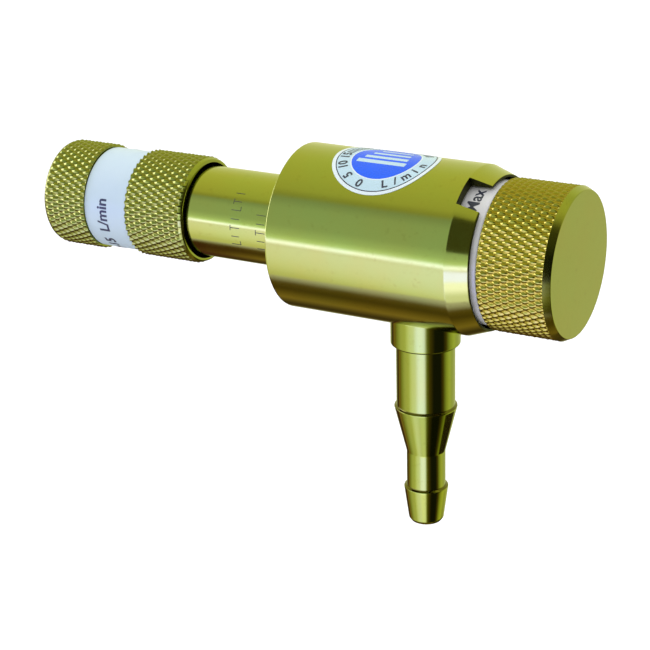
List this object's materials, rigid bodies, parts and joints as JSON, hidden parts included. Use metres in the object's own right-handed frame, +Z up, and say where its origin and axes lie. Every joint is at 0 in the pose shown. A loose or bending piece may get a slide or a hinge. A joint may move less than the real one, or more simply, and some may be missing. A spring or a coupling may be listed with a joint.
{
  "type": "gas regulator",
  "caption": "Brass in-line gas regulator with a knurled union nut on the inlet, a knurled flow knob with a Min-Max scale and a two-step hose tail.",
  "frame": {"origin": "centre of the inlet union nut's mouth, on the main axis", "axes": "+X along the main axis from the inlet to the knob, +Z up, the hose tail points down along -Z"},
  "size_m": [0.1047, 0.03, 0.069],
  "materials": {
    "housing_brass": "satin turned",
    "stem_brass": "polished turned",
    "nut_brass": "knurled",
    "knob_brass": "knurled",
    "hose_tail_brass": "polished turned",
    "turned_brass": "machined",
    "band_print": "satin print",
    "label_print": "gloss print",
    "scale_plastic": "satin",
    "sintered_bronze": "sintered",
    "spring_steel": "drawn wire",
    "black_steel": "blackened",
    "stainless": "ground",
    "black_rubber": "matte",
    "nylon": "matte",
    "ptfe": "waxy",
    "fibre": "pressed fibre"
  },
  "bodies": {
    "body": {"housing": "housing_brass", "inlet_stem": "stem_brass", "inlet_nipple": "turned_brass", "inlet_washer": "fibre", "inlet_filter": "sintered_bronze", "filter_clip": "spring_steel", "valve_seat": "turned_brass", "stem_oring": "black_rubber", "piston_rod_oring": "black_rubber", "rod_guide_bush": "ptfe", "spring_shim": "stainless", "main_spring": "spring_steel", "vent_plug": "sintered_bronze", "round_label": "label_print", "needle_seat": "turned_brass", "needle_seat_gasket": "ptfe", "gland_bush": "turned_brass", "gland_oring": "black_rubber", "spindle_clip": "spring_steel", "stop_pin": "stainless", "hose_tail": "hose_tail_brass", "hose_tail_oring": "black_rubber"},
    "nut_washer": {"nut_thrust_washer": "ptfe"},
    "union_nut": {"inlet_nut": "nut_brass", "nut_label_band": "band_print"},
    "piston": {"piston": "turned_brass", "seat_disc": "nylon", "piston_oring": "black_rubber"},
    "needle": {"metering_needle": "stainless", "needle_oring": "black_rubber"},
    "knob": {"knob": "knob_brass", "knob_grub_screw": "black_steel", "scale_sleeve": "scale_plastic", "adjusting_spindle": "turned_brass"}
  },
  "joints": [
    {"name": "nut_slide", "type": "slide", "parent": "body", "child": "nut_washer", "axis": [1, 0, 0], "range_m": [0, 0.0025]},
    {"name": "nut_spin", "type": "hinge", "parent": "nut_washer", "child": "union_nut", "pos_m": [0, 0, 0], "axis": [1, 0, 0], "continuous": true},
    {"name": "piston_travel", "type": "slide", "parent": "body", "child": "piston", "axis": [-1, 0, 0], "range_m": [0, 0.00045], "deforming": ["main_spring"]},
    {"name": "needle_travel", "type": "slide", "parent": "body", "child": "needle", "axis": [1, 0, 0], "range_m": [-0.00084, 0]},
    {"name": "knob_turn", "type": "hinge", "parent": "body", "child": "knob", "pos_m": [0.1, 0, 0], "axis": [1, 0, 0], "range_deg": [-300, 0]}
  ],
  "couplings": [
    {"joint": "needle_travel", "follows": "knob_turn", "m_per_rad": 0.00015915}
  ]
}
